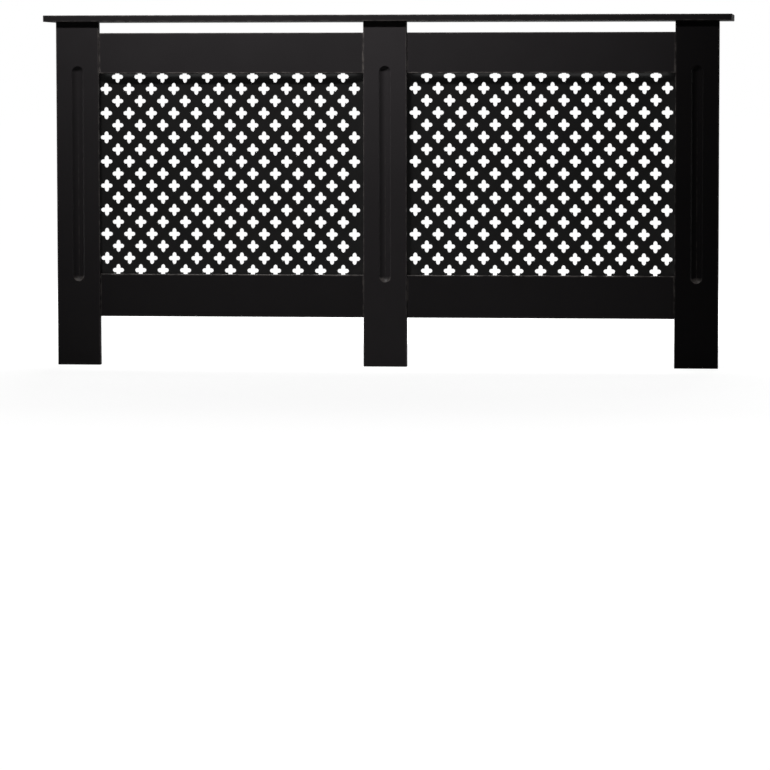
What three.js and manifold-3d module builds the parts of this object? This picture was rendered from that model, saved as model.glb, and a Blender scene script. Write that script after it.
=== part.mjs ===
// Radiator cover cabinet: a shelf over a framed front with two pierced grilles, and two side panels.
// Millimetres. +X is right, +Y is towards the wall, +Z is up. The origin is on the floor, in the middle.
import * as THREE from "three";
import { mergeVertices } from "three/addons/utils/BufferGeometryUtils.js";
import Module from "manifold-3d";

// ---------- overall sizes ----------
const shelfLength = 1600;
const overallHeight = 815;
const shelfDepth = 210;

// ---------- boards ----------
const shelfThickness = 15;
const shelfEndOverhang = 29; // past the outer posts
const shelfFrontOverhang = 10; // past the posts' faces
const postWidth = 101;
const postThickness = 16;
const railSetback = 4; // the rails' faces lie this far behind the posts' faces
const legHeight = 114; // clear height under the bottom rails
const bottomRailHeight = 99;
const topRailHeight = 94;
const airSlotHeight = 26; // open slot between the top rails and the shelf
const sideThickness = 15;
const sideInset = 10; // a side panel lies this far inside its post's outer edge
const boardEase = 0.8; // the paint-softened arris on every board

// ---------- notch for the skirting board ----------
const notchDepth = 28;
const notchHeight = 168;
const notchRadius = 25;

// ---------- flute down the middle of each post ----------
const fluteWidth = 27.5;
const fluteDepth = 5;
const fluteOverrun = 17; // past the grille opening, above and below

// ---------- grilles ----------
const grilleThickness = 3;
const grilleOverlap = 20; // behind the posts and rails, all round
const holePitchX = 53;
const holePitchY = 56; // every second row
const holeWidth = 26.4;
const holeHeight = 27.6;
const petalWidth = 10;

// ---------- fittings ----------
const fitClearance = 0.3; // between a fitting and the hole that holds it, all round
const endClearance = 0.5; // at a blind hole's end
const railDowelRadius = 3;
const railDowelLength = 30;
const railDowelEdge = 24; // from a rail's edge
const shelfDowelRadius = 4;
const shelfDowelLength = 24;
const shelfDowelSpacing = 60;
const shelfDowelCover = 5; // wood left above a dowel in the shelf
const camRadius = 7.5;
const camCover = 2.5; // board left behind a cam lock
const camOffset = 24; // from the joint to the cam's centre
const camKeySlot = [1.5, 9, 1.6]; // depth, length and width of the screwdriver slot
const camEndDistance = 120; // from the floor and from the shelf to the two post cams
const shelfCamY = 20;
const boltRadius = 3.4;
const boltShankRadius = 2.8;
const boltNeckRadius = 1.7;
const boltNeckLength = 3;
const boltTipCover = 5; // wood left beyond a bolt's tip
const grilleScrewRadius = 1.5;
const grilleScrewGrip = 9; // in the post
const grilleScrewInset = 30; // from the opening's upper and lower edges
const bracketThickness = 2;
const bracketLeg = 30;
const bracketHeight = 40;
const bracketDrop = 60; // from the shelf's underside to the bracket's middle
const bracketScrewRadius = 2;
const bracketScrewGrip = 12; // in the side panel
const wallHoleRadius = 3;
const screwHeadSpread = 2.1; // a screw head's radius over its shank's
const screwHeadRise = 1.3; // a screw head's height over its shank's radius

// ---------- facets ----------
const pegSides = 8;
const camSides = 12;
const fluteSides = 24;
const fluteEndSteps = 6;
const notchSteps = 6;

// ---------- levels and planes that follow from these ----------
const shelfUnderside = overallHeight - shelfThickness;
const topRailTop = shelfUnderside - airSlotHeight;
const openingTop = topRailTop - topRailHeight;
const openingBottom = legHeight + bottomRailHeight;
const openingHeight = openingTop - openingBottom;
const wallPlane = shelfDepth / 2;
const postFace = shelfFrontOverhang - wallPlane;
const postBack = postFace + postThickness;
const railThickness = postThickness - railSetback;
const outerSpan = shelfLength - 2 * shelfEndOverhang;
const outerPostX = (outerSpan - postWidth) / 2;
const bayWidth = outerPostX - postWidth;
const bayCentreX = outerPostX / 2;
const sideCentreX = outerSpan / 2 - sideInset - sideThickness / 2;
const camHeight = sideThickness - camCover;
const postCamLevels = [camEndDistance, shelfUnderside - camEndDistance];
const shelfCamLevel = shelfUnderside - camOffset;
const bracketLevel = shelfUnderside - bracketDrop;
const bracketScrewY = wallPlane - bracketLeg / 2;
const grilleScrewLevels = [openingBottom + grilleScrewInset, openingTop - grilleScrewInset];
const railDowelLevels = [
  legHeight + railDowelEdge,
  openingBottom - railDowelEdge,
  openingTop + railDowelEdge,
  topRailTop - railDowelEdge,
];

// ---------- materials ----------
const paint = (color, roughness) => new THREE.MeshStandardMaterial({ color, roughness, metalness: 0 });
const metal = (color, roughness) => new THREE.MeshStandardMaterial({ color, roughness, metalness: 1 });
const boardPaint = paint(0x232122, 0.5);
const grillePaint = paint(0x1b1919, 0.55);
const beech = paint(0xc79d68, 0.7);
const zinc = metal(0xa9a9a6, 0.45);
const steel = metal(0xb4b7ba, 0.35);

// ---------- solids ----------
const wasm = await Module();
wasm.setup();

function toSolid(geometry) {
  const bare = geometry.clone();
  bare.deleteAttribute("normal");
  bare.deleteAttribute("uv");
  const merged = mergeVertices(bare, 1e-4);
  const mesh = { numProp: 3, vertProperties: merged.attributes.position.array };
  mesh.triVerts = new Uint32Array(merged.index.array);
  return new wasm.Manifold(new wasm.Mesh(mesh));
}

function toGeometry(solid) {
  const { vertProperties, triVerts } = solid.getMesh();
  const geometry = new THREE.BufferGeometry();
  geometry.setAttribute("position", new THREE.BufferAttribute(vertProperties, 3));
  geometry.setIndex(new THREE.BufferAttribute(triVerts, 1));
  const faceted = geometry.toNonIndexed();
  faceted.computeVertexNormals();
  return faceted;
}

// Cuts every cutter out of a geometry.
function cut(geometry, cutters) {
  const solid = cutters.reduce((rest, cutter) => rest.subtract(toSolid(cutter)), toSolid(geometry));
  return toGeometry(solid);
}

// Turns a geometry made along +Y so that it lies along the given axis.
function along(geometry, axis) {
  if (axis === "x") return geometry.rotateZ(-Math.PI / 2);
  if (axis === "z") return geometry.rotateX(Math.PI / 2);
  return geometry;
}

// A round bar centred on a point, for pegs and their holes.
function bar(radius, length, axis, centre, sides = pegSides) {
  const geometry = new THREE.CylinderGeometry(radius, radius, length, sides);
  return along(geometry, axis).translate(...centre);
}

// A turned piece: pairs of radius and height from one end of its axis to the other.
function turned(profile, axis) {
  const points = profile.map(([radius, height]) => new THREE.Vector2(radius, height));
  return along(new THREE.LatheGeometry(points, pegSides), axis);
}

function rectangle(width, height) {
  const shape = new THREE.Shape();
  shape.moveTo(-width / 2, 0);
  shape.lineTo(width / 2, 0);
  shape.lineTo(width / 2, height);
  shape.lineTo(-width / 2, height);
  return shape;
}

// A board cut from sheet: its outline lies in XY and its thickness runs from 0 to +Z.
function board(shape, thickness, ease = boardEase) {
  const geometry = new THREE.ExtrudeGeometry(shape, {
    depth: thickness - 2 * ease,
    bevelEnabled: ease > 0,
    bevelThickness: ease,
    bevelSize: ease,
    bevelOffset: -ease,
    bevelSegments: 1,
    curveSegments: notchSteps,
  });
  return geometry.translate(0, 0, ease);
}

// Stands a board up in the front frame: outline in XZ, back face at Y = 0, thickness towards the viewer.
const standing = (geometry) => geometry.rotateX(Math.PI / 2);

// ---------- the front frame, in a group whose Y = 0 is the frame's back plane ----------
const frame = new THREE.Group();
frame.position.y = postBack;

function addPiece(group, name, geometry, material, position = [0, 0, 0]) {
  const mesh = new THREE.Mesh(geometry, material);
  mesh.name = name;
  mesh.position.set(...position);
  group.add(mesh);
}

const railDowelY = -railThickness / 2;
const railDowelHole = (x, z) =>
  bar(railDowelRadius + fitClearance, railDowelLength + 2 * endClearance, "x", [x, railDowelY, z]);

const shelfDowelGrip = shelfThickness - shelfDowelCover;
const shelfDowelCentre = shelfUnderside + shelfDowelGrip - shelfDowelLength / 2;
const shelfDowelPlaces = [-outerPostX, 0, outerPostX].flatMap((postX) =>
  [-1, 1].map((side) => postX + (side * shelfDowelSpacing) / 2),
);
const shelfDowelHole = (x, y) => {
  const length = shelfDowelLength + 2 * endClearance;
  return bar(shelfDowelRadius + fitClearance, length, "z", [x, y, shelfDowelCentre]);
};

// A flute is the shallow side of a long capsule sunk into the post's face.
function fluteCutter() {
  const half = fluteWidth / 2;
  const radius = (half * half + fluteDepth * fluteDepth) / (2 * fluteDepth);
  const straight = openingHeight + 2 * fluteOverrun - fluteWidth;
  const capsule = new THREE.CapsuleGeometry(radius, straight, fluteEndSteps, fluteSides);
  const middle = (openingTop + openingBottom) / 2;
  return along(capsule, "z").translate(0, fluteDepth - postThickness - radius, middle);
}

function addPost(name, x) {
  const railSides = [-1, 1].filter((side) => side * x <= 0);
  const cutters = [fluteCutter()];
  for (const side of railSides) {
    const edge = (side * postWidth) / 2;
    for (const z of railDowelLevels) cutters.push(railDowelHole(edge, z));
    for (const z of grilleScrewLevels)
      cutters.push(
        bar(grilleScrewRadius + fitClearance, 2 * (grilleScrewGrip + endClearance), "y", [
          edge - (side * grilleOverlap) / 2,
          0,
          z,
        ]),
      );
  }
  for (const dowelX of shelfDowelPlaces)
    if (Math.abs(dowelX - x) < postWidth / 2) cutters.push(shelfDowelHole(dowelX - x, -postThickness / 2));
  if (x !== 0) {
    const length = 2 * (postThickness - boltTipCover + endClearance);
    for (const z of postCamLevels)
      cutters.push(bar(boltRadius + fitClearance, length, "y", [Math.sign(x) * sideCentreX - x, 0, z]));
  }
  const outline = rectangle(postWidth, shelfUnderside);
  addPiece(frame, name, cut(standing(board(outline, postThickness)), cutters), boardPaint, [x, 0, 0]);
}

addPost("left_post", -outerPostX);
addPost("middle_post", 0);
addPost("right_post", outerPostX);

function addRail(name, x, bottom, height) {
  const cutters = [-1, 1].flatMap((side) =>
    [railDowelEdge, height - railDowelEdge].map((z) => railDowelHole((side * bayWidth) / 2, z)),
  );
  const outline = rectangle(bayWidth, height);
  addPiece(frame, name, cut(standing(board(outline, railThickness)), cutters), boardPaint, [x, 0, bottom]);
}

const railDowel = bar(railDowelRadius, railDowelLength, "x", [0, 0, 0]);

// ---------- grilles: staggered rows of four-petalled holes ----------
const columns = Math.floor((bayWidth - holeWidth) / holePitchX) + 1;
const rows = Math.floor((2 * openingHeight) / holePitchY) + 1;

// The hole's outline runs from petal tip to notch, round the four petals.
function petalHole(x, z) {
  const notch = petalWidth / 2;
  const tips = [
    [holeWidth / 2, 0],
    [0, holeHeight / 2],
    [-holeWidth / 2, 0],
    [0, -holeHeight / 2],
  ];
  const hole = new THREE.Path();
  tips.forEach(([tipX, tipZ], i) => {
    const [nextX, nextZ] = tips[(i + 1) % 4];
    const tip = [x + tipX, z + tipZ];
    if (i === 0) hole.moveTo(...tip);
    else hole.lineTo(...tip);
    hole.lineTo(x + Math.sign(tipX + nextX) * notch, z + Math.sign(tipZ + nextZ) * notch);
  });
  return hole;
}

function screwHole(x, z) {
  return new THREE.Path().absarc(x, z, grilleScrewRadius + fitClearance, 0, 2 * Math.PI);
}

function grilleGeometry() {
  const outline = rectangle(bayWidth + 2 * grilleOverlap, openingHeight + 2 * grilleOverlap);
  const middle = grilleOverlap + openingHeight / 2;
  for (let row = 0; row < rows; row++) {
    const count = columns - ((row + 1) % 2);
    const z = middle + (row - (rows - 1) / 2) * (holePitchY / 2);
    for (let i = 0; i < count; i++) outline.holes.push(petalHole((i - (count - 1) / 2) * holePitchX, z));
  }
  for (const side of [-1, 1])
    for (const level of grilleScrewLevels) {
      const x = (side * (bayWidth + grilleOverlap)) / 2;
      outline.holes.push(screwHole(x, level - openingBottom + grilleOverlap));
    }
  const sheet = { depth: grilleThickness, bevelEnabled: false, curveSegments: pegSides };
  return standing(new THREE.ExtrudeGeometry(outline, sheet));
}

// A pan-head screw along +axis: its tip is at 0, its head sits on what it holds.
function panScrew(radius, length, axis) {
  const headRadius = screwHeadSpread * radius;
  const headHeight = screwHeadRise * radius;
  return turned(
    [
      [0, 0],
      [radius, radius],
      [radius, length],
      [headRadius, length],
      [headRadius / 2, length + headHeight],
      [0, length + headHeight],
    ],
    axis,
  );
}

const grilleScrew = panScrew(grilleScrewRadius, grilleScrewGrip + grilleThickness, "y");

for (const [bay, side] of [
  ["left", -1],
  ["right", 1],
]) {
  const x = side * bayCentreX;
  addRail("bottom_rail_" + bay, x, legHeight, bottomRailHeight);
  addRail("top_rail_" + bay, x, openingTop, topRailHeight);
  const grilleFloor = openingBottom - grilleOverlap;
  addPiece(frame, "grille_" + bay, grilleGeometry(), grillePaint, [x, grilleThickness, grilleFloor]);
  for (const [end, endSide] of [
    ["left", -1],
    ["right", 1],
  ]) {
    const edgeX = x + (endSide * bayWidth) / 2;
    ["bottom_lower", "bottom_upper", "top_lower", "top_upper"].forEach((place, i) => {
      const name = "rail_dowel_" + bay + "_" + place + "_" + end;
      addPiece(frame, name, railDowel, beech, [edgeX, railDowelY, railDowelLevels[i]]);
    });
    ["lower", "upper"].forEach((place, i) => {
      const screwX = edgeX + (endSide * grilleOverlap) / 2;
      const name = "grille_screw_" + bay + "_" + place + "_" + end;
      addPiece(frame, name, grilleScrew, steel, [screwX, -grilleScrewGrip, grilleScrewLevels[i]]);
    });
  }
}

// ---------- the shelf and the dowels between it and the posts ----------
const shelfCamBoltDepth = shelfThickness - boltTipCover;

function addShelf(group) {
  const cutters = shelfDowelPlaces.map((x) => shelfDowelHole(x, postBack - postThickness / 2));
  for (const side of [-1, 1])
    cutters.push(
      bar(boltRadius + fitClearance, 2 * (shelfCamBoltDepth + endClearance), "z", [
        side * sideCentreX,
        shelfCamY,
        shelfUnderside,
      ]),
    );
  const outline = rectangle(shelfLength, shelfDepth);
  const slab = board(outline, shelfThickness).translate(0, -shelfDepth / 2, shelfUnderside);
  addPiece(group, "top_shelf", cut(slab, cutters), boardPaint);
}

const shelfDowel = bar(shelfDowelRadius, shelfDowelLength, "z", [0, 0, 0]);

const cabinet = new THREE.Group();
cabinet.add(frame);
addShelf(cabinet);
const dowelPosts = ["left_post", "middle_post", "right_post"];
shelfDowelPlaces.forEach((x, i) => {
  const name = "shelf_dowel_" + dowelPosts[Math.floor(i / 2)] + (i % 2 ? "_right" : "_left");
  addPiece(cabinet, name, shelfDowel, beech, [x, postBack - postThickness / 2, shelfDowelCentre]);
});

// ---------- cam fittings ----------
// A connecting bolt along +axis: the joint is at 0, its thread is below it and its head is in the cam.
function camBolt(grip, axis) {
  const headEnd = camOffset + boltShankRadius;
  const headStart = headEnd - 2 * boltShankRadius;
  return turned(
    [
      [0, -grip],
      [boltRadius, -grip],
      [boltRadius, 0],
      [boltShankRadius, 0],
      [boltShankRadius, headStart - boltNeckLength],
      [boltNeckRadius, headStart - boltNeckLength],
      [boltNeckRadius, headStart],
      [boltShankRadius, headStart],
      [boltShankRadius, headEnd],
      [0, headEnd],
    ],
    axis,
  );
}

// The bolt's bore: from the joint to the far side of its head.
const boltBoreLength = camOffset + boltShankRadius + endClearance;
const boltBore = (axis, centre) => bar(boltShankRadius + fitClearance, boltBoreLength, axis, centre);

// A cam lock centred on its own middle, its axis along X and its bolt coming in along the given axis.
function camLock(boltAxis, boltSide, faceSide) {
  const body = bar(camRadius, camHeight, "x", [0, 0, 0], camSides);
  const boreCentre = boltSide * (camOffset - boltBoreLength / 2);
  const boreX = (-faceSide * camCover) / 2;
  const centre = boltAxis === "y" ? [boreX, boreCentre, 0] : [boreX, 0, boreCentre];
  const [slotDepth, slotLength, slotWidth] = camKeySlot;
  const slot = new THREE.BoxGeometry(2 * slotDepth, slotLength, slotWidth);
  slot.translate((faceSide * camHeight) / 2, 0, 0);
  return cut(body, [boltBore(boltAxis, centre), slot]);
}

// ---------- side panels, each in a group whose X = 0 is the panel's middle plane ----------
function sideOutline() {
  const shape = new THREE.Shape();
  const notchFace = wallPlane - notchDepth;
  shape.moveTo(postBack, 0);
  shape.lineTo(notchFace, 0);
  shape.lineTo(notchFace, notchHeight - notchRadius);
  shape.absarc(notchFace + notchRadius, notchHeight - notchRadius, notchRadius, Math.PI, Math.PI / 2, true);
  shape.lineTo(wallPlane, notchHeight);
  shape.lineTo(wallPlane, shelfUnderside);
  shape.lineTo(postBack, shelfUnderside);
  return shape;
}

// The bracket's plan: one leg on the panel's inner face, the other flush with the wall plane.
function bracketOutline(inward) {
  const leg = bracketLeg;
  const gauge = bracketThickness;
  const shape = new THREE.Shape();
  const corners = [
    [0, -leg],
    [inward * gauge, -leg],
    [inward * gauge, -2 * gauge],
    [inward * 2 * gauge, -gauge],
    [inward * leg, -gauge],
    [inward * leg, 0],
    [inward * gauge, 0],
    [0, -gauge],
  ];
  corners.forEach(([x, y], i) => (i ? shape.lineTo(x, y) : shape.moveTo(x, y)));
  return shape;
}

function addSide(name, side) {
  const group = new THREE.Group();
  group.position.x = side * sideCentreX;
  const inner = (-side * sideThickness) / 2;
  const camX = inner + (side * camHeight) / 2;
  const camHole = (y, z) =>
    bar(camRadius + fitClearance, 2 * (camHeight + fitClearance), "x", [inner, y, z], camSides);
  const postCamY = postBack + camOffset;
  const postBoreY = postBack + boltBoreLength / 2;
  const cutters = postCamLevels.flatMap((z) => [camHole(postCamY, z), boltBore("y", [0, postBoreY, z])]);
  cutters.push(camHole(shelfCamY, shelfCamLevel));
  cutters.push(boltBore("z", [0, shelfCamY, shelfUnderside - boltBoreLength / 2]));
  const screwHoleLength = 2 * (bracketScrewGrip + endClearance);
  cutters.push(
    bar(bracketScrewRadius + fitClearance, screwHoleLength, "x", [inner, bracketScrewY, bracketLevel]),
  );
  const slab = board(sideOutline(), sideThickness).translate(0, 0, -sideThickness / 2);
  addPiece(group, "side_panel_" + name, cut(standing(slab).rotateZ(Math.PI / 2), cutters), boardPaint);

  ["lower", "upper"].forEach((place, i) => {
    const z = postCamLevels[i];
    const bolt = camBolt(postThickness - boltTipCover, "y");
    addPiece(group, "cam_bolt_post_" + name + "_" + place, bolt, zinc, [0, postBack, z]);
    const lock = camLock("y", -1, -side);
    addPiece(group, "cam_lock_post_" + name + "_" + place, lock, zinc, [camX, postCamY, z]);
  });
  const shelfBolt = camBolt(shelfCamBoltDepth, "z").rotateX(Math.PI);
  addPiece(group, "cam_bolt_shelf_" + name, shelfBolt, zinc, [0, shelfCamY, shelfUnderside]);
  addPiece(group, "cam_lock_shelf_" + name, camLock("z", 1, -side), zinc, [camX, shelfCamY, shelfCamLevel]);

  const angle = board(bracketOutline(-side), bracketHeight, 0);
  angle.translate(inner, wallPlane, -bracketHeight / 2);
  const bracketCutters = [
    bar(bracketScrewRadius + fitClearance, 4 * bracketThickness, "x", [inner, bracketScrewY, 0]),
    bar(wallHoleRadius, 4 * bracketThickness, "y", [inner - (side * bracketLeg) / 2, wallPlane, 0]),
  ];
  addPiece(group, "wall_bracket_" + name, cut(angle, bracketCutters), steel, [0, 0, bracketLevel]);
  const screwLength = bracketScrewGrip + bracketThickness;
  const screw = panScrew(bracketScrewRadius, screwLength, "x").rotateY(side > 0 ? Math.PI : 0);
  const tipX = inner + side * bracketScrewGrip;
  addPiece(group, "wall_bracket_screw_" + name, screw, steel, [tipX, bracketScrewY, bracketLevel]);
  cabinet.add(group);
}

addSide("left", -1);
addSide("right", 1);

export default cabinet;
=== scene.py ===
"""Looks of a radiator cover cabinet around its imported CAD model: black painted boards with fluted posts,
grilles of four-petalled holes, and the zinc and steel fittings that show from behind. Metres, +Z up."""
import math

import bmesh
import bpy
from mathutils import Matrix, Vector


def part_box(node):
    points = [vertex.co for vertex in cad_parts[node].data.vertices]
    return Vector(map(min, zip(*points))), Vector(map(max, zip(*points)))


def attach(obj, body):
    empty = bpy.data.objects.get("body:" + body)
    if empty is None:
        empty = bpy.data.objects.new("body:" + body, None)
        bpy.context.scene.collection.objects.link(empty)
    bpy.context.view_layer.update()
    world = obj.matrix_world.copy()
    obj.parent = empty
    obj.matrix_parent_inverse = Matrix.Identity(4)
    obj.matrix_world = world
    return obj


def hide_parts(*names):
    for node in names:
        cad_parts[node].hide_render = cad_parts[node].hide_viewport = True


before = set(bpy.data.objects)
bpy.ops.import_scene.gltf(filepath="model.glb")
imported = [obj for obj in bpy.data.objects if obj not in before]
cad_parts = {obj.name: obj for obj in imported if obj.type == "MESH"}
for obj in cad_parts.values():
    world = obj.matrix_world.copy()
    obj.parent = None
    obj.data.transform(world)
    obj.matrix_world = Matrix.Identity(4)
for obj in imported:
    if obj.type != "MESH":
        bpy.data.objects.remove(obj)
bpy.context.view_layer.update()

MM = 0.001
SIDES = (("left", -1), ("right", 1))
X, Y, Z = range(3)

# The opening that a grille fills, between the rails.
OPENING_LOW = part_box("bottom_rail_left")[1].z
OPENING_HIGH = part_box("top_rail_left")[0].z

# ---------- boards ----------
EASE = 1.2 * MM  # radius of a painted arris
EASE_STEPS = 4
CORNER = 1.6 * MM  # radius of a board's corners in its outline
SHELF_CORNER = 2 * CORNER
CORNER_STEPS = 3
SHARPEST = 0.05 * MM  # the least radius that a drawn-in corner keeps
WEAR_BAND = 2.5 * MM  # an arris's wear fades out over this width
ARRIS_WEAR = 1
SHOULDER_WEAR = 0.5  # where the arris meets the board's faces
OPENING_HIGHLIGHT = 3  # painted highlight: how much more the pale wear grey shows on the rails' arrises beside the grilles
HIGHLIGHT_REACH = 2 * EASE

# ---------- flutes of the posts ----------
FLUTE_WIDTH = 27.5 * MM
FLUTE_DEPTH = 7 * MM
FLUTE_OVERRUN = 17 * MM  # past the grille opening, above and below
FLUTE_RIM = 0.8 * MM  # radius of its softened rim
FLUTE_RIM_STEPS = 4
FLUTE_ROUND_START = 0.96  # share of the round section's half angle at which it leaves the rim
FLUTE_ROUND_STEPS = 10
FLUTE_END_STEPS = 24
FLUTE_END_HIGHLIGHT = 3.5  # painted highlight: share of the pale wear grey at the tip of the flute's rounded lower end

# ---------- skirting notch of the side panels ----------
NOTCH_DEPTH = 28 * MM
NOTCH_HEIGHT = 168 * MM
NOTCH_RADIUS = 25 * MM
NOTCH_STEPS = 16

# ---------- grilles ----------
GRILLE_OVERLAP = 20 * MM  # behind the posts and rails, all round
HOLE_PITCH_X = 53 * MM
HOLE_PITCH_Z = 56.35 * MM  # every second row
PATTERN_SHIFT = {"left": (-4.5 * MM, 0.5 * MM), "right": (0, 1.7 * MM)}  # sideways and up, off the middle
GRILLE_ROWS = 17
GRILLE_COLUMNS = 12  # in every second row, and one fewer in the others
SIDE_PETAL = (6.37 * MM, 6.77 * MM, 4.96 * MM)  # centre, half length, half width
UPRIGHT_PETAL = (5.76 * MM, 8.03 * MM, 4.98 * MM)
PETAL_ROUNDNESS = 2.2  # exponent of a petal's outline; 2 is an ellipse
PETAL_STEPS = 9
NOTCH_SEARCHES = 40  # halvings in the search for the notch between two petals
HOLE_RIM = 0.4 * MM
HOLE_RIM_STEPS = 2
HOLE_RIM_WEAR = 0.7
RIM_BAND = 0.8 * MM  # a rim's wear fades out over this width
SCREW_HOLE = 1.8 * MM
SCREW_HOLE_STEPS = 16
BOW = 5 * MM  # how far back the thin sheet sags between the boards that hold its edges
BOW_TOP = 8 * MM  # it leaves each edge over a length like this
BOW_BOTTOM = 40 * MM
BOW_SIDES = 22 * MM
BOW_CUTS = (0, 0.25, 0.5, 0.75, 1, 1.3, 1.6, 2, 2.6)  # folds of the mesh, as shares of that length

# ---------- cam locks and cross recesses ----------
ROUND_STEPS = 32
CAM_EASE = 0.5 * MM
CAM_CLEARANCE = 0.3 * MM
CAM_RIM_WEAR = 0.6  # of the paint round the bore
CAM_CROSS_REACH = 0.6  # of the lock's radius
CAM_CROSS_ARM = 1 * MM  # half the width of an arm
CAM_CROSS_DEPTH = 3 * MM
CROSS_FLOOR_REACH = 0.55  # a recess tapers to these shares of its reach and arm
CROSS_FLOOR_ARM = 0.7

# ---------- screws, as shares of the head's or the shank's radius ----------
HEAD_TO_SHANK = 2.1
HEAD_HEIGHT = 1.3  # in shanks
TIP = 0.1  # in shanks
POINT_LENGTH = 2  # in shanks
HEAD_UNDERSIDE = 0.94
HEAD_FLAT = 0.55  # the flat on top
HEAD_RIM = 0.15  # of the head's height, where its dome starts
HEAD_TURNS = (0, 25, 50, 70, 85)  # degrees up the dome
SCREW_CROSS_REACH = 0.5
SCREW_CROSS_ARM = 0.14
SCREW_CROSS_DEPTH = 0.7  # of the head's height

# ---------- wall brackets ----------
BRACKET_LEG = 30 * MM
BRACKET_GAUGE = 2 * MM
BRACKET_BEND = 3 * MM  # outer radius of its bend
BRACKET_STRAIGHT = BRACKET_LEG - BRACKET_BEND
BRACKET_ARC = BRACKET_BEND * math.pi / 2
BRACKET_CORNER = 4 * MM
BRACKET_EASE = 0.25 * MM
BEND_CUTS = 8
WALL_HOLE = 3 * MM
PANEL_HOLE = 1.8 * MM
BRACKET_HOLE_STEPS = 24

# ---------- shading ----------
SHARP_ANGLE = 50  # degrees between faces from which an edge stays sharp
METAL_SHARP_ANGLE = 40
WHITE = (1, 1, 1, 1)
NOISE_SPAN = (0.3, 0.7)  # most of a noise's values lie between these
MIX_NUMBERS = (2, 3)  # the Mix node's sockets share their names, so they are told apart by place
MIX_NUMBER_RESULT = 0
MIX_COLOURS = (6, 7)
MIX_COLOUR_RESULT = 2

# ---------- paint; noises are given in cells a metre ----------
BOARD_BLACK = (30, 28, 29)
GRILLE_BLACK = (12, 11, 11)
# the pale grey of worn paint, which also paints highlights on the flutes' lower ends and the rails beside
# the grilles
WORN_AND_HIGHLIGHT_GREY = (80, 76, 74)
BOARD_ROUGHNESS = 0.48
GRILLE_ROUGHNESS = 0.3
BOARD_SHINE = 0.12
DULL_SHINE = 0.05
GRILLE_SHINE = 0.8
PAINTED_SHADE_TONE = 0.8  # painted shade: the board paint made darker for the shelf and the bottom rails
# Painted light and shade: the middle post gets a lighter copy of the board paint, the outer posts darker
# ones, the right one also duller.
POST_LIGHT_AND_SHADE = {  # tone and shine
    "left_post": (0.95, BOARD_SHINE),
    "middle_post": (1.33, BOARD_SHINE),
    "right_post": (0.45, DULL_SHINE),
}
CLOUD_CELLS = 3.5
CLOUD_SWING = 0.07  # how far the tone drifts to either side
FLECK_CELLS = 420
FLECK_SPAN = (0.62, 0.75)
FLECK_SHARE = 0.35
FLECK_GAIN = 1.35
RUB_CELLS = 60
RUB_SPAN = (0.42, 0.62)
RUB_SHARES = (0.15, 0.75)  # how much of the wear shows from patch to patch
SHEEN_CELLS = 14
SHEEN_SWING = 0.02
WORN_SHEEN = 0.1  # how much less rough a worn place is
STIPPLE_CELLS = 900
STIPPLE_HEIGHT = 0.03 * MM
STIPPLE_STRENGTH = 0.6
PEEL_CELLS = 170
PEEL_HEIGHT = 0.05 * MM
PEEL_STRENGTH = 0.5

# ---------- wood and metal ----------
BEECH_PALE = (206, 164, 112)
BEECH_DARK = (186, 140, 88)
GRAIN_CELLS = 700
GRAIN_STRETCH = (0.06, 1, 1)
GRAIN_ROUGHNESS = (0.6, 0.8)
GRAIN_HEIGHT = 0.05 * MM
ZINC_BRIGHT = (176, 176, 173)
ZINC_DULL = (150, 150, 147)
ZINC_ROUGHNESS = 0.45
ZINC_CELLS = 300
STEEL_BRIGHT = (190, 193, 196)
STEEL_DULL = (165, 168, 172)
STEEL_ROUGHNESS = 0.34
STEEL_CELLS = 120
SCRATCH_CELLS = 2500
SCRATCH_STRETCH = (1, 1, 0.1)
SCRATCH_HEIGHT = 0.02 * MM
SCRATCH_STRENGTH = 0.5
METAL_SMOOTHER = 0.08  # how far the roughness drifts down and up
METAL_ROUGHER = 0.1

# ---------- floor and background ----------
FLOOR_REACH = 60
FLOOR_SIDES = 96
FLOOR_PALE = (140, 140, 140)
GLOW_NEAR = 0.9  # what is seen directly on top of the floor's own grey, beside the cabinet
GLOW_FAR = 1
GLOW_SPAN = (1, 2.5)  # the change from near to far, in distance from the cabinet's middle
WORLD_LIGHT = 0.01
ROOM_DIM = 0.04  # how bright the room in front of the cabinet looks in reflections
ROOM_BEHIND = 0.12  # and the one behind it
ROOM_SPAN = (-0.3, 0.1)  # the change from one to the other, in a direction's part along Y
FLOOR_OPEN = 0.5  # how bright the open floor looks in reflections
OPEN_SPAN = (-1.3, -0.6)  # where, along Y, it becomes so
FLOOR_SHADE = 0.25  # what is left of that at the cabinet's foot
SHADE_SPAN = (-0.45, -0.15)

# ---------- lamps and camera ----------
KEY_PLACE = (-1, -2, 3.65)
KEY_TARGET = (-0.44, -0.1, 1.9)
KEY_SIZE = (0.4, 0.25)
KEY_POWER = 41
KEY_SPREAD = 46  # degrees
OPEN_SPREAD = 180
SIDE_PLACE = (3, 0.3, 0.42)  # of the right one
SIDE_TARGET = (0.77, 0, 0.42)
SIDE_SIZE = (1.6, 0.75)
SIDE_POWER = 55
REAR_PLACE = (0, 3, 2.3)
REAR_TARGET = (0, 0.1, 0.4)
REAR_SIZE = (2.4, 1)
REAR_POWER = 100
CAMERA_DISTANCE = 9.5
CAMERA_TURN = 6.283  # degrees, as for its tilt and roll
CAMERA_TILT = 4.333
CAMERA_ROLL = 0.06
CAMERA_ASIDE = -0.01
CAMERA_HEIGHT = 0.67
CAMERA_LENS = 189.7  # millimetres, as for its sensor
CAMERA_SENSOR = 36
CAMERA_CLIP = 200


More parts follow.
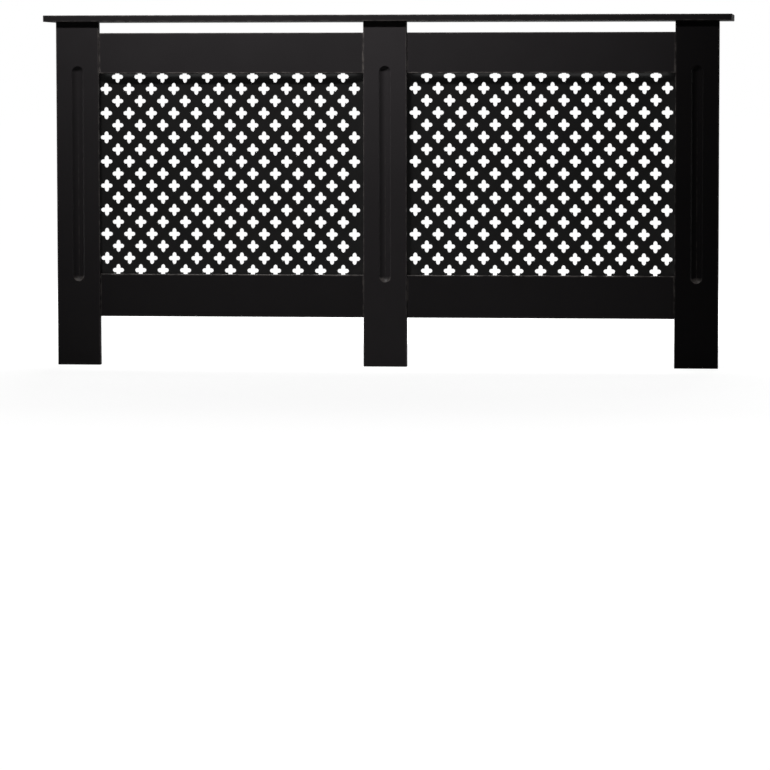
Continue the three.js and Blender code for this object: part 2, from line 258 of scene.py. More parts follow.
# ---------- outlines ----------
# Their points run counter-clockwise. A circle, a rectangle and a freehand outline are functions that take
# how far the outline is drawn in.
def arc(centre, radius, start, end, steps):
    """Points of an arc from one angle to another, in degrees, both ends included."""
    points = []
    for step in range(steps + 1):
        angle = math.radians(start + (end - start) * step / steps)
        points.append(Vector(centre) + radius * Vector((math.cos(angle), math.sin(angle))))
    return points


def circle(centre, radius, steps=ROUND_STEPS):
    return lambda inset: arc(centre, radius - inset, 0, 360, steps)[:-1]


def rounded_corner(tip, toward, radius, inset, start):
    """A quarter turn in a corner whose inside lies along toward, of this radius before it is drawn in."""
    kept = max(radius - inset, SHARPEST)
    centre = Vector(tip) + (inset + kept) * Vector(toward)
    return arc(centre, kept, start, start + 90, CORNER_STEPS)


def rectangle(low, high, radius):
    def outline(inset):
        points = rounded_corner((high[0], high[1]), (-1, -1), radius, inset, 0)
        points += rounded_corner((low[0], high[1]), (1, -1), radius, inset, 90)
        points += rounded_corner((low[0], low[1]), (1, 1), radius, inset, 180)
        points += rounded_corner((high[0], low[1]), (-1, 1), radius, inset, 270)
        return points

    return outline


def stadium(low, high, radius):
    """The points of an upright slot round the line from low to high."""
    return arc(high, radius, 0, 180, FLUTE_END_STEPS) + arc(low, radius, 180, 360, FLUTE_END_STEPS)


def cross(centre, reach, arm):
    """The points of a plus sign whose arms are twice arm wide."""
    points = []
    for quarter in range(4):
        turn = math.radians(90 * quarter)
        for u, v in ((reach, -arm), (reach, arm), (arm, arm)):
            across = u * math.cos(turn) - v * math.sin(turn)
            upward = u * math.sin(turn) + v * math.cos(turn)
            points.append(Vector(centre) + Vector((across, upward)))
    return points


def freehand(shape):
    """Any closed list of points, drawn in point for point by a small distance."""

    def outline(inset):
        moved = []
        for before, point, after in zip(shape[-1:] + shape[:-1], shape, shape[1:] + shape[:1]):
            first = (point - before).normalized()
            second = (after - point).normalized()
            mitre = Vector((-first.y - second.y, first.x + second.x)) / (1 + first.dot(second))
            moved.append(point + inset * mitre)
        return moved

    return outline


# ---------- places: where a point of an outline and its height lie in the frame ----------
def along_x(start, direction):
    return lambda u, v, w: Vector((start + direction * w, u, v))


def along_y(start, direction):
    return lambda u, v, w: Vector((u, start + direction * w, v))


def along_z(start):
    return lambda u, v, w: Vector((u, v, start + w))


def middle(low, high, *axes):
    """The middle of a box, along these axes."""
    return tuple((low[axis] + high[axis]) / 2 for axis in axes)


# ---------- solids: rings of vertices, each an outline at a height and with a share of wear and painted highlight ---
def add_ring(bm, ring, place):
    points, height, wear_and_highlight = ring
    layer = bm.verts.layers.float["wear_and_highlight"]
    verts = []
    for point in points:
        vert = bm.verts.new(place(point.x, point.y, height))
        vert[layer] = wear_and_highlight
        verts.append(vert)
    return verts


def bridge(bm, lower, upper):
    for i in range(len(lower)):
        j = (i + 1) % len(lower)
        bm.faces.new((lower[i], lower[j], upper[j], upper[i]))


def add_wall(bm, rings, place):
    """Adds the rings, joins each to the next, and gives the first and the last."""
    made = [add_ring(bm, ring, place) for ring in rings]
    for lower, upper in zip(made, made[1:]):
        bridge(bm, lower, upper)
    return made[0], made[-1]


def loop_edges(bm, verts):
    return [bm.edges.get((verts[i - 1], verts[i])) for i in range(len(verts))]


def fill(bm, outer, openings):
    """Closes a flat end, round its openings."""
    if not openings:
        bm.faces.new(outer)
        return
    edges = loop_edges(bm, outer)
    for rim in openings:
        edges += loop_edges(bm, rim)
    bmesh.ops.triangle_fill(bm, use_beauty=True, use_dissolve=False, edges=edges)


def solid(rings, place, pockets=(), through=()):
    """Bridges the rings from first to last and closes both ends. Each pocket is a list of rings that opens
    in the last end. Each through hole is a list of rings from the first end to the last."""
    bm = bmesh.new()
    bm.verts.layers.float.new("wear_and_highlight")
    first_end, last_end = add_wall(bm, rings, place)
    first_openings, last_openings = [], []
    for hole in through:
        first_rim, last_rim = add_wall(bm, hole, place)
        first_openings.append(first_rim)
        last_openings.append(last_rim)
    for pocket in pockets:
        mouth, bottom = add_wall(bm, pocket, place)
        bm.faces.new(bottom)
        last_openings.append(mouth)
    fill(bm, first_end, first_openings)
    fill(bm, last_end, last_openings)
    bmesh.ops.recalc_face_normals(bm, faces=bm.faces)
    return bm


def board_rings(outline, thickness, ease, band=WEAR_BAND):
    """Rings of a board cut from sheet, with a round arris along both faces."""
    lower = [(outline(ease + band), 0, 0)] if band else []
    for step in range(EASE_STEPS + 1):
        angle = math.radians(90 * (1 - step / EASE_STEPS))
        drawn_in, height = ease * (1 - math.cos(angle)), ease * (1 - math.sin(angle))
        wear_and_highlight = ARRIS_WEAR if 0 < step < EASE_STEPS else SHOULDER_WEAR
        lower.append((outline(drawn_in), height, wear_and_highlight))
    if band:
        lower.append((outline(0), ease + band, 0))
    upper = [(points, thickness - height, wear_and_highlight) for points, height, wear_and_highlight in reversed(lower)]
    return lower + upper


def cross_pocket(centre, reach, arm, top, depth):
    """A tapered cross recess."""
    return [
        (cross(centre, reach, arm), top, 0),
        (cross(centre, CROSS_FLOOR_REACH * reach, CROSS_FLOOR_ARM * arm), top - depth, 0),
    ]


def fold_line(bm, point, normal):
    """Cuts the faces where a plane crosses them, so that the mesh can bend there."""
    everything = bm.verts[:] + bm.edges[:] + bm.faces[:]
    bmesh.ops.bisect_plane(bm, geom=everything, plane_co=point, plane_no=normal)


def finish_piece(bm, name, node, material, sharp=SHARP_ANGLE):
    """Makes a mesh into the piece that stands for a CAD node, smooth over its arrises and flat elsewhere."""
    mesh = bpy.data.meshes.new(name)
    bm.to_mesh(mesh)
    bm.free()
    mesh.shade_smooth()
    mesh.set_sharp_from_angle(angle=math.radians(sharp))
    mesh.materials.append(material)
    piece = bpy.data.objects.new(name, mesh)
    bpy.context.scene.collection.objects.link(piece)
    flats = piece.modifiers.new("flats", "WEIGHTED_NORMAL")
    flats.keep_sharp = True
    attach(piece, "root")
    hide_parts(node)


# ---------- materials ----------
class Nodes:
    """Short calls that add nodes to a tree."""

    def __init__(self, tree):
        self.tree = tree

    def add(self, kind, **settings):
        node = self.tree.nodes.new(kind)
        for name, value in settings.items():
            setattr(node, name, value)
        return node

    def link(self, source, target):
        self.tree.links.new(source, target)

    def join(self, operation, first, second):
        node = self.add("ShaderNodeMath", operation=operation)
        self.link(first, node.inputs[0])
        self.link(second, node.inputs[1])
        return node.outputs["Value"]

    def remap(self, value, span, results):
        """Turns the values of a span into those between two results, and holds them beyond."""
        node = self.add("ShaderNodeMapRange")
        for names, numbers in ((("From Min", "From Max"), span), (("To Min", "To Max"), results)):
            for name, number in zip(names, numbers):
                node.inputs[name].default_value = number
        self.link(value, node.inputs["Value"])
        return node.outputs["Result"]

    def depth(self, coordinates):
        """How far back a point or a direction lies."""
        node = self.add("ShaderNodeSeparateXYZ")
        self.link(coordinates, node.inputs["Vector"])
        return node.outputs["Y"]

    def shown(self, reflected):
        """1 for camera and transmission rays, reflected for glossy rays, 0 for rays of diffuse light."""
        paths = self.add("ShaderNodeLightPath").outputs
        direct = self.join("MAXIMUM", paths["Is Camera Ray"], paths["Is Transmission Ray"])
        return self.join("MAXIMUM", direct, self.join("MULTIPLY", paths["Is Glossy Ray"], reflected))


class Shader(Nodes):
    """A material's nodes, with the frame's coordinates and its Principled shader at hand."""

    def __init__(self, name):
        self.material = bpy.data.materials.new(name)
        self.material.use_nodes = True
        super().__init__(self.material.node_tree)
        self.skin = self.tree.nodes["Principled BSDF"]
        self.place = self.add("ShaderNodeTexCoord").outputs["Object"]

    def feed(self, source, name):
        self.link(source, self.skin.inputs[name])

    def fix(self, name, value):
        self.skin.inputs[name].default_value = value

    def noise(self, cells, detail=2, stretch=None):
        """A noise of so many cells a metre."""
        node = self.add("ShaderNodeTexNoise")
        node.inputs["Scale"].default_value = cells
        node.inputs["Detail"].default_value = detail
        place = self.place
        if stretch:
            mapping = self.add("ShaderNodeMapping")
            mapping.inputs["Scale"].default_value = stretch
            self.link(place, mapping.inputs["Vector"])
            place = mapping.outputs["Vector"]
        self.link(place, node.inputs["Vector"])
        return node.outputs["Fac"]

    def mix(self, share, first, second):
        """Mixes two colours, each a colour or a socket."""
        node = self.add("ShaderNodeMix", data_type="RGBA")
        self.link(share, node.inputs["Factor"])
        for index, value in zip(MIX_COLOURS, (first, second)):
            socket = node.inputs[index]
            if isinstance(value, tuple):
                socket.default_value = value
            else:
                self.link(value, socket)
        return node.outputs[MIX_COLOUR_RESULT]

    def mix_value(self, share, first, second):
        """Mixes a socket's value with a number."""
        node = self.add("ShaderNodeMix", data_type="FLOAT")
        self.link(share, node.inputs["Factor"])
        from_socket, to_socket = (node.inputs[index] for index in MIX_NUMBERS)
        self.link(first, from_socket)
        to_socket.default_value = second
        return node.outputs[MIX_NUMBER_RESULT]

    def bump(self, height, distance, strength=1, under=None):
        node = self.add("ShaderNodeBump")
        node.inputs["Strength"].default_value = strength
        node.inputs["Distance"].default_value = distance
        self.link(height, node.inputs["Height"])
        if under is not None:
            self.link(under, node.inputs["Normal"])
        return node.outputs["Normal"]

    def wear_and_highlight(self):
        return self.add("ShaderNodeAttribute", attribute_name="wear_and_highlight").outputs["Fac"]


def srgb(red, green, blue, gain=1):
    """A colour given in display levels of 0 to 255, as the linear colour that nodes take."""
    linear = []
    for level in (red, green, blue):
        share = level / 255
        linear.append(gain * (share / 12.92 if share <= 0.04045 else ((share + 0.055) / 1.055) ** 2.4))
    return (*linear, 1)


def paint(name, colour, tone=1, roughness=BOARD_ROUGHNESS, shine=BOARD_SHINE):
    """Sprayed satin paint over fibreboard: mottled, finely stippled, and rubbed paler along its arrises. The
    same pale grey paints highlights where the wear share is raised for them, and a tone above or below 1
    makes a lit or shaded copy.
    """
    shader = Shader(name)
    darker, lighter = ((1 + swing) * tone for swing in (-CLOUD_SWING, CLOUD_SWING))
    cloud = shader.remap(shader.noise(CLOUD_CELLS, detail=3), NOISE_SPAN, (0, 1))
    body = shader.mix(cloud, srgb(*colour, darker), srgb(*colour, lighter))
    flecks = shader.remap(shader.noise(FLECK_CELLS, detail=1), FLECK_SPAN, (0, FLECK_SHARE))
    body = shader.mix(flecks, body, srgb(*colour, FLECK_GAIN * tone))
    rubbed = shader.remap(shader.noise(RUB_CELLS, detail=4), RUB_SPAN, RUB_SHARES)
    # the pale grey shows real wear on arrises and rims, and painted highlights on the flutes' lower ends and
    # the rails beside the grilles
    wear_and_highlight_share = shader.join("MULTIPLY", shader.wear_and_highlight(), rubbed)
    shader.feed(shader.mix(wear_and_highlight_share, body, srgb(*WORN_AND_HIGHLIGHT_GREY)), "Base Color")
    drift = (roughness - SHEEN_SWING, roughness + SHEEN_SWING)
    sheen = shader.remap(shader.noise(SHEEN_CELLS, detail=4), NOISE_SPAN, drift)
    shader.feed(shader.mix_value(wear_and_highlight_share, sheen, roughness - WORN_SHEEN), "Roughness")
    shader.fix("Specular IOR Level", shine)
    stipple = shader.bump(shader.noise(STIPPLE_CELLS), STIPPLE_HEIGHT, STIPPLE_STRENGTH)
    peel = shader.bump(shader.noise(PEEL_CELLS, detail=1), PEEL_HEIGHT, PEEL_STRENGTH, under=stipple)
    shader.feed(peel, "Normal")
    return shader.material


def wood(name, pale, dark):
    """Bare turned beech, its grain along X."""
    shader = Shader(name)
    grain = shader.noise(GRAIN_CELLS, detail=3, stretch=GRAIN_STRETCH)
    shader.feed(shader.mix(grain, srgb(*pale), srgb(*dark)), "Base Color")
    shader.feed(shader.remap(grain, (0, 1), GRAIN_ROUGHNESS), "Roughness")
    shader.feed(shader.bump(grain, GRAIN_HEIGHT), "Normal")
    return shader.material


def metal(name, bright, dull, roughness, cells):
    """Plated or cast metal, cloudy and finely scratched."""
    shader = Shader(name)
    cloud = shader.noise(cells, detail=4)
    shader.feed(shader.mix(cloud, srgb(*bright), srgb(*dull)), "Base Color")
    shader.fix("Metallic", 1)
    scratches = shader.noise(SCRATCH_CELLS, stretch=SCRATCH_STRETCH)
    drift = (roughness - METAL_SMOOTHER, roughness + METAL_ROUGHER)
    shader.feed(shader.remap(scratches, NOISE_SPAN, drift), "Roughness")
    shader.feed(shader.bump(scratches, SCRATCH_HEIGHT, SCRATCH_STRENGTH), "Normal")
    return shader.material


board_paint = paint("board_paint", BOARD_BLACK)
# painted shade: a darker copy of the board paint, for the shelf and the bottom rails
shaded_paint = paint("board_paint_shaded", BOARD_BLACK, PAINTED_SHADE_TONE)
grille_paint = paint("grille_paint", GRILLE_BLACK, roughness=GRILLE_ROUGHNESS, shine=GRILLE_SHINE)
beech = wood("beech", BEECH_PALE, BEECH_DARK)
zinc = metal("cast_zinc", ZINC_BRIGHT, ZINC_DULL, ZINC_ROUGHNESS, ZINC_CELLS)
steel = metal("plated_steel", STEEL_BRIGHT, STEEL_DULL, STEEL_ROUGHNESS, STEEL_CELLS)


# ---------- posts, rails and shelf ----------
def flute(middle_x, thickness):
    """The rings of a flute, from its softened rim down its round section."""
    half = FLUTE_WIDTH / 2
    radius = (half**2 + FLUTE_DEPTH**2) / (2 * FLUTE_DEPTH)
    slope = math.asin(half / radius)
    low = Vector((middle_x, OPENING_LOW - FLUTE_OVERRUN + half))
    high = Vector((middle_x, OPENING_HIGH + FLUTE_OVERRUN - half))
    rim_reach = half + FLUTE_RIM * math.tan(slope / 2)
    rings = [(stadium(low, high, rim_reach + RIM_BAND), thickness, 0)]
    for step in range(FLUTE_RIM_STEPS):
        angle = slope * step / FLUTE_RIM_STEPS
        reach = rim_reach - FLUTE_RIM * math.sin(angle)
        depth = FLUTE_RIM * (1 - math.cos(angle))
        rings.append((stadium(low, high, reach), thickness - depth, 0))
    for step in range(FLUTE_ROUND_STEPS):
        reach = radius * math.sin(slope * FLUTE_ROUND_START * (1 - step / FLUTE_ROUND_STEPS))
        depth = math.sqrt(radius**2 - reach**2) - (radius - FLUTE_DEPTH)
        rings.append((stadium(low, high, reach), thickness - depth, 0))
    return rings


def paint_flute_end_highlight(bm, front):
    """Paints a highlight on the rounded lower end of a flute, paler towards its tip, through the wear share.
    """
    layer = bm.verts.layers.float["wear_and_highlight"]
    half = FLUTE_WIDTH / 2
    for vert in bm.verts:
        share = (OPENING_LOW - FLUTE_OVERRUN + half - vert.co.z) / half
        if 0 < share < 1 and vert.co.y > front + RIM_BAND / 2:
            vert[layer] = FLUTE_END_HIGHLIGHT * share


def paint_highlight_beside(bm, height):
    """Paints a highlight on a rail's arris at this height, by raising its wear share above its others."""
    layer = bm.verts.layers.float["wear_and_highlight"]
    for vert in bm.verts:
        if abs(vert.co.z - height) < HIGHLIGHT_REACH:
            vert[layer] *= OPENING_HIGHLIGHT


def upright_board(low, high, pockets=()):
    """A board that faces the front."""
    outline = rectangle((low.x, low.z), (high.x, high.z), CORNER)
    return solid(board_rings(outline, high.y - low.y, EASE), along_y(high.y, -1), pockets=pockets)


def post(name):
    low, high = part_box(name)
    groove = flute((low.x + high.x) / 2, high.y - low.y)
    bm = upright_board(low, high, pockets=[groove])
    paint_flute_end_highlight(bm, low.y)
    # painted light and shade: each post's own lighter or darker copy of the board paint
    tone, shine = POST_LIGHT_AND_SHADE[name]
    finish = paint("paint_" + name, BOARD_BLACK, tone, shine=shine)
    finish_piece(bm, name + "_painted", name, finish)


def rail(bay, level, edge, finish):
    """A top or bottom rail, with a painted highlight along the edge beside the grille."""
    name = level + "_rail_" + bay
    bm = upright_board(*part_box(name))
    paint_highlight_beside(bm, edge)
    finish_piece(bm, name + "_painted", name, finish)


def shelf():
    low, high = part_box("top_shelf")
    outline = rectangle((low.x, low.y), (high.x, high.y), SHELF_CORNER)
    bm = solid(board_rings(outline, high.z - low.z, EASE), along_z(low.z))
    finish_piece(bm, "top_shelf_painted", "top_shelf", shaded_paint)


# ---------- side panels ----------
def side_outline(low, high):
    """Outline in Y and Z, with the notch at the lower rear corner."""
    notch = Vector((high.y - NOTCH_DEPTH, low.z + NOTCH_HEIGHT))
    hollow = (notch.x + NOTCH_RADIUS, notch.y - NOTCH_RADIUS)

    def outline(inset):
        points = rounded_corner((low.y, low.z), (1, 1), CORNER, inset, 180)
        points += rounded_corner((notch.x, low.z), (-1, 1), CORNER, inset, 270)
        points += arc(hollow, NOTCH_RADIUS + inset, 180, 90, NOTCH_STEPS)
        points += rounded_corner((high.y, notch.y), (-1, 1), CORNER, inset, 270)
        points += rounded_corner((high.y, high.z), (-1, -1), CORNER, inset, 0)
        points += rounded_corner((low.y, high.z), (1, -1), CORNER, inset, 90)
        return points

    return outline


def cam_nodes(bay):
    return ["cam_lock_post_%s_lower" % bay, "cam_lock_post_%s_upper" % bay, "cam_lock_shelf_%s" % bay]


def cam_bore(cam, thickness):
    """The rings of the bore in a side panel that holds a cam lock."""
    low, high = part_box(cam)
    rim = circle(middle(low, high, Y, Z), (high.z - low.z) / 2 + CAM_CLEARANCE)(0)
    floor = thickness - (high.x - low.x) - CAM_CLEARANCE
    return [(rim, thickness, CAM_RIM_WEAR), (rim, floor, 0)]


def side_panel(bay, side):
    name = "side_panel_" + bay
    low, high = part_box(name)
    outer = low.x if side < 0 else high.x
    thickness = high.x - low.x
    bores = [cam_bore(cam, thickness) for cam in cam_nodes(bay)]
    rings = board_rings(side_outline(low, high), thickness, EASE)
    bm = solid(rings, along_x(outer, -side), pockets=bores)
    finish_piece(bm, name + "_painted", name, board_paint)


# ---------- grilles ----------
def petal_point(petal, turn):
    """A point of a petal that points along +u."""
    centre, along, across = petal
    power = 2 / PETAL_ROUNDNESS
    u, v = math.cos(turn), math.sin(turn)
    return Vector((
        centre + along * math.copysign(abs(u) ** power, u),
        across * math.copysign(abs(v) ** power, v),
    ))


def outside_petal(point, petal):
    """Whether a point lies outside the neighbouring petal, which points along +v."""
    centre, along, across = petal
    ahead = abs(point.y - centre) / along
    return ahead**PETAL_ROUNDNESS + (abs(point.x) / across) ** PETAL_ROUNDNESS > 1


def petal_arc(petal, neighbour):
    """One petal's part of a hole's outline, from notch to notch."""
    near, far = math.pi / 4, math.pi
    for _ in range(NOTCH_SEARCHES):
        between = (near + far) / 2
        if outside_petal(petal_point(petal, between), neighbour):
            near = between
        else:
            far = between
    return [petal_point(petal, near * (2 * step / PETAL_STEPS - 1)) for step in range(PETAL_STEPS + 1)]


def petalled_outline():
    """A hole's outline about its own middle."""
    right = petal_arc(SIDE_PETAL, UPRIGHT_PETAL)
    up = [Vector((-p.y, p.x)) for p in petal_arc(UPRIGHT_PETAL, SIDE_PETAL)]
    half = right[:-1] + up[:-1]
    return freehand(half + [-p for p in half])


HOLE_OUTLINE = petalled_outline()


def hole_rings(centre, thickness):
    """The rings of a hole through the sheet, with a soft rim on both faces."""
    lower = [([centre + p for p in HOLE_OUTLINE(-HOLE_RIM - RIM_BAND)], 0, 0)]
    for step in range(HOLE_RIM_STEPS + 1):
        angle = math.radians(90 * (1 - step / HOLE_RIM_STEPS))
        let_out, height = HOLE_RIM * (1 - math.cos(angle)), HOLE_RIM * (1 - math.sin(angle))
        lower.append(([centre + p for p in HOLE_OUTLINE(-let_out)], height, HOLE_RIM_WEAR))
    return lower + [(points, thickness - height, wear_and_highlight) for points, height, wear_and_highlight in reversed(lower)]


def pattern_holes(bay, low, high, thickness):
    """The petalled holes of a grille, row by row from the bottom."""
    shift_x, shift_z = PATTERN_SHIFT[bay]
    middle_x = (low.x + high.x) / 2 + shift_x
    middle_z = (OPENING_LOW + OPENING_HIGH) / 2 + shift_z
    holes = []
    for row in range(GRILLE_ROWS):
        count = GRILLE_COLUMNS - (row + 1) % 2
        z = middle_z + (row - (GRILLE_ROWS - 1) / 2) * HOLE_PITCH_Z / 2
        for column in range(count):
            x = middle_x + (column - (count - 1) / 2) * HOLE_PITCH_X
            holes.append(hole_rings(Vector((x, z)), thickness))
    return holes


def grille_screws(bay):
    nodes = []
    for end in ("left", "right"):
        for level in ("lower", "upper"):
            nodes.append("grille_screw_%s_%s_%s" % (bay, level, end))
    return nodes


def screw_hole(screw, thickness):
    rim = circle(middle(*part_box(screw), X, Z), SCREW_HOLE, SCREW_HOLE_STEPS)(0)
    return [(rim, 0, 0), (rim, thickness, 0)]


def bow_back(bm, low, high):
    """Sags the sheet backwards inside its opening; its edges stay flat behind the boards."""
    edges = (
        (X, low.x + GRILLE_OVERLAP, 1, BOW_SIDES),
        (X, high.x - GRILLE_OVERLAP, -1, BOW_SIDES),
        (Z, OPENING_LOW, 1, BOW_BOTTOM),
        (Z, OPENING_HIGH, -1, BOW_TOP),
    )
    for axis, start, inward, reach in edges:
        for share in BOW_CUTS:
            point, normal = Vector(), Vector()
            point[axis] = start + inward * share * reach
            normal[axis] = 1
            fold_line(bm, point, normal)
    for vert in bm.verts:
        sag = BOW
        for axis, start, inward, reach in edges:
            distance = max(inward * (vert.co[axis] - start), 0)
            sag *= math.tanh(distance / reach)
        vert.co.y += sag


def grille(bay):
    name = "grille_" + bay
    low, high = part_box(name)
    thickness = high.y - low.y
    holes = pattern_holes(bay, low, high, thickness)
    holes += [screw_hole(screw, thickness) for screw in grille_screws(bay)]
    outline = rectangle((low.x, low.z), (high.x, high.z), CORNER)
    rings = board_rings(outline, thickness, HOLE_RIM, band=0)
    bm = solid(rings, along_y(high.y, -1), through=holes)
    bow_back(bm, low, high)
    finish_piece(bm, name + "_painted", name, grille_paint)


# ---------- cam locks, screws and brackets ----------
def cam_lock(name, side):
    """A lock whose slotted face shows on the panel's inner side."""
    low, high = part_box(name)
    centre = middle(low, high, Y, Z)
    radius, height = (high.z - low.z) / 2, high.x - low.x
    outer_end = high.x if side > 0 else low.x
    recess = cross_pocket(centre, CAM_CROSS_REACH * radius, CAM_CROSS_ARM, height, CAM_CROSS_DEPTH)
    rings = board_rings(circle(centre, radius), height, CAM_EASE, band=0)
    bm = solid(rings, along_x(outer_end, -side), pockets=[recess])
    finish_piece(bm, name + "_cast", name, zinc, sharp=METAL_SHARP_ANGLE)


def screw_rings(centre, shank, head, length, head_height):
    """Rings of a pan-head screw from its point to the flat of its head."""
    sections = [(TIP * shank, 0), (shank, POINT_LENGTH * shank), (shank, length)]
    sections.append((HEAD_UNDERSIDE * head, length))
    for turn in HEAD_TURNS:
        angle = math.radians(turn)
        radius = head * (HEAD_FLAT + (1 - HEAD_FLAT) * math.cos(angle))
        rise = head_height * (HEAD_RIM + (1 - HEAD_RIM) * math.sin(angle))
        sections.append((radius, length + rise))
    return [(circle(centre, radius)(0), height, 0) for radius, height in sections]


def screw(name, centre, span, head, place):
    """A screw of this span, from its point to the top of its head."""
    shank = head / HEAD_TO_SHANK
    head_height = HEAD_HEIGHT * shank
    rings = screw_rings(centre, shank, head, span - head_height, head_height)
    top = rings[-1][1]
    depth = SCREW_CROSS_DEPTH * head_height
    recess = cross_pocket(centre, SCREW_CROSS_REACH * head, SCREW_CROSS_ARM * head, top, depth)
    bm = solid(rings, place, pockets=[recess])
    finish_piece(bm, name + "_plated", name, steel, sharp=METAL_SHARP_ANGLE)


def grille_screw(name):
    low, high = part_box(name)
    screw(name, middle(low, high, X, Z), high.y - low.y, (high.z - low.z) / 2, along_y(low.y, 1))


def bracket_screw(bay, side):
    name = "wall_bracket_screw_" + bay
    low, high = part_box(name)
    tip = high.x if side > 0 else low.x
    screw(name, middle(low, high, Y, Z), high.x - low.x, (high.z - low.z) / 2, along_x(tip, -side))


def bent(point, inner, wall, side):
    """Where a point of the flat plate goes once it is bent: first along the panel, then along the wall."""
    along, level, depth = point
    if along <= BRACKET_STRAIGHT:
        return Vector((inner - side * depth, wall - BRACKET_LEG + along, level))
    if along >= BRACKET_STRAIGHT + BRACKET_ARC:
        past = BRACKET_BEND + along - BRACKET_STRAIGHT - BRACKET_ARC
        return Vector((inner - side * past, wall - depth, level))
    turn = (along - BRACKET_STRAIGHT) / BRACKET_BEND
    reach = BRACKET_BEND - depth
    return Vector((
        inner - side * (BRACKET_BEND - reach * math.cos(turn)),
        wall - BRACKET_BEND + reach * math.sin(turn),
        level,
    ))


def bracket(bay, side):
    """A steel angle, cut and drilled flat and then bent."""
    name = "wall_bracket_" + bay
    low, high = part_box(name)
    level = (low.z + high.z) / 2
    plate = rectangle((0, low.z), (2 * BRACKET_STRAIGHT + BRACKET_ARC, high.z), BRACKET_CORNER)
    wall_hole_at = BRACKET_STRAIGHT + BRACKET_ARC + BRACKET_LEG / 2 - BRACKET_BEND
    holes = []
    for along, radius in ((BRACKET_LEG / 2, PANEL_HOLE), (wall_hole_at, WALL_HOLE)):
        rim = circle((along, level), radius, BRACKET_HOLE_STEPS)(0)
        holes.append([(rim, 0, 0), (rim, BRACKET_GAUGE, 0)])
    bm = solid(board_rings(plate, BRACKET_GAUGE, BRACKET_EASE, band=0), along_z(0), through=holes)
    for cut in range(BEND_CUTS + 1):
        fold_line(bm, Vector((BRACKET_STRAIGHT + BRACKET_ARC * cut / BEND_CUTS, 0, 0)), Vector((1, 0, 0)))
    inner = high.x if side > 0 else low.x
    for vert in bm.verts:
        vert.co = bent(vert.co, inner, high.y, side)
    bmesh.ops.recalc_face_normals(bm, faces=bm.faces)
    finish_piece(bm, name + "_plated", name, steel, sharp=METAL_SHARP_ANGLE)


def hidden_fittings():
    """The dowels and cam bolts inside the boards keep their CAD shape and get their own finish."""
    for name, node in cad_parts.items():
        if "dowel" in name:
            finish, slot = beech, "beech"
        elif name.startswith("cam_bolt"):
            finish, slot = zinc, "zinc"
        else:
            continue
        node.data.materials.clear()
        node.data.materials.append(finish)


# ---------- floor, background, lamps and camera ----------
def pale_floor():
    bm = bmesh.new()
    bmesh.ops.create_circle(bm, cap_ends=True, radius=FLOOR_REACH, segments=FLOOR_SIDES)
    mesh = bpy.data.meshes.new("floor")
    bm.to_mesh(mesh)
    bm.free()
    shader = Shader("floor_pale")
    shader.fix("Base Color", srgb(*FLOOR_PALE))
    shader.fix("Roughness", 1)
    shader.fix("Specular IOR Level", 0)
    shader.fix("Emission Color", WHITE)
    depth = shader.depth(shader.place)
    open_floor = shader.remap(depth, OPEN_SPAN, (ROOM_DIM, FLOOR_OPEN))
    reflected = shader.join("MULTIPLY", open_floor, shader.remap(depth, SHADE_SPAN, (1, FLOOR_SHADE)))
    length = shader.add("ShaderNodeVectorMath", operation="LENGTH")
    shader.link(shader.place, length.inputs[0])
    glow = shader.remap(length.outputs["Value"], GLOW_SPAN, (GLOW_NEAR, GLOW_FAR))
    shader.feed(shader.join("MULTIPLY", glow, shader.shown(reflected)), "Emission Strength")
    mesh.materials.append(shader.material)
    floor = bpy.data.objects.new("floor", mesh)
    bpy.context.scene.collection.objects.link(floor)


def white_world():
    world = bpy.data.worlds.new("studio")
    world.use_nodes = True
    bpy.context.scene.world = world
    background = world.node_tree.nodes["Background"]
    background.inputs["Color"].default_value = WHITE
    nodes = Nodes(world.node_tree)
    direction = nodes.add("ShaderNodeTexCoord").outputs["Generated"]
    reflected = nodes.remap(nodes.depth(direction), ROOM_SPAN, (ROOM_DIM, ROOM_BEHIND))
    strength = nodes.remap(nodes.shown(reflected), (0, 1), (WORLD_LIGHT, 1))
    nodes.link(strength, background.inputs["Strength"])


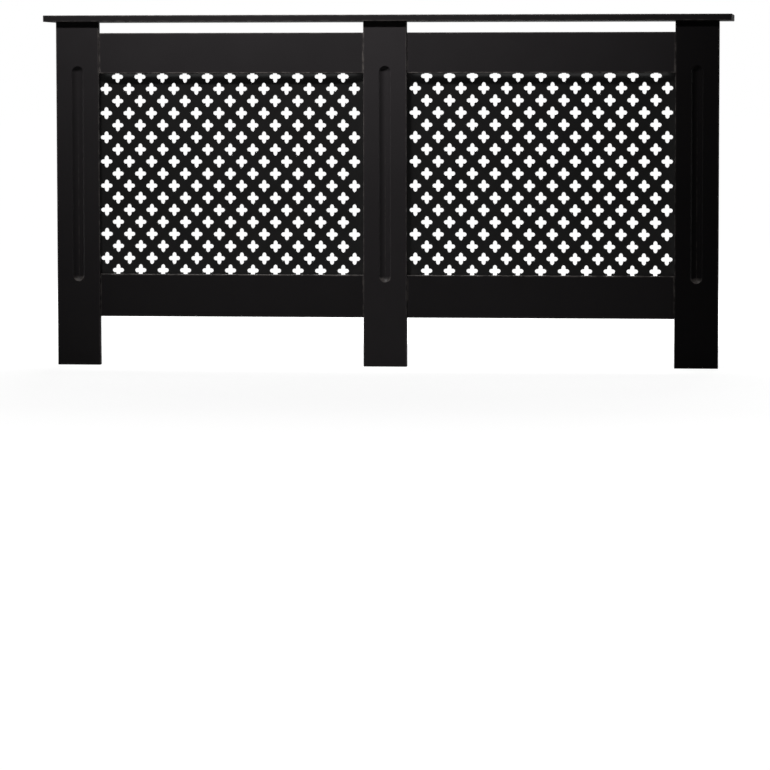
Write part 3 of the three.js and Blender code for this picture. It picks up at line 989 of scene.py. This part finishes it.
def softbox(name, place, target, size, power, spread=OPEN_SPREAD):
    light = bpy.data.lights.new(name, "AREA")
    light.shape = "RECTANGLE"
    light.size, light.size_y = size
    light.energy = power
    light.spread = math.radians(spread)
    lamp = bpy.data.objects.new(name, light)
    lamp.location = place
    lamp.rotation_euler = (Vector(target) - Vector(place)).to_track_quat("-Z", "Y").to_euler()
    lamp.visible_camera = False
    bpy.context.scene.collection.objects.link(lamp)


def lamps():
    softbox("key", KEY_PLACE, KEY_TARGET, KEY_SIZE, KEY_POWER, spread=KEY_SPREAD)
    for bay, side in SIDES:
        place = (side * SIDE_PLACE[X], SIDE_PLACE[Y], SIDE_PLACE[Z])
        target = (side * SIDE_TARGET[X], SIDE_TARGET[Y], SIDE_TARGET[Z])
        softbox("side_" + bay, place, target, SIDE_SIZE, SIDE_POWER)
    softbox("rear", REAR_PLACE, REAR_TARGET, REAR_SIZE, REAR_POWER)


def camera():
    """A long lens, a little to the right of the middle and looking slightly down."""
    turn, tilt, roll = (math.radians(angle) for angle in (CAMERA_TURN, CAMERA_TILT, CAMERA_ROLL))
    aside = CAMERA_DISTANCE * math.sin(turn) + CAMERA_ASIDE
    lens = bpy.data.cameras.new("camera")
    lens.lens = CAMERA_LENS
    lens.sensor_width = CAMERA_SENSOR
    lens.clip_end = CAMERA_CLIP
    body = bpy.data.objects.new("camera", lens)
    body.location = (aside, -CAMERA_DISTANCE * math.cos(turn), CAMERA_HEIGHT)
    body.rotation_euler = (math.pi / 2 - tilt, roll, turn)
    bpy.context.scene.collection.objects.link(body)
    bpy.context.scene.camera = body


# ---------- the cabinet in its studio ----------
for name in POST_LIGHT_AND_SHADE:
    post(name)
for bay, _ in SIDES:
    rail(bay, "top", OPENING_HIGH, board_paint)
    rail(bay, "bottom", OPENING_LOW, shaded_paint)
shelf()
for bay, side in SIDES:
    side_panel(bay, side)
for bay, _ in SIDES:
    grille(bay)
for bay, side in SIDES:
    for name in cam_nodes(bay):
        cam_lock(name, side)
for bay, side in SIDES:
    for name in grille_screws(bay):
        grille_screw(name)
    bracket_screw(bay, side)
for bay, side in SIDES:
    bracket(bay, side)
hidden_fittings()

pale_floor()
white_world()
lamps()
camera()
bpy.context.scene.view_settings.view_transform = "Standard"
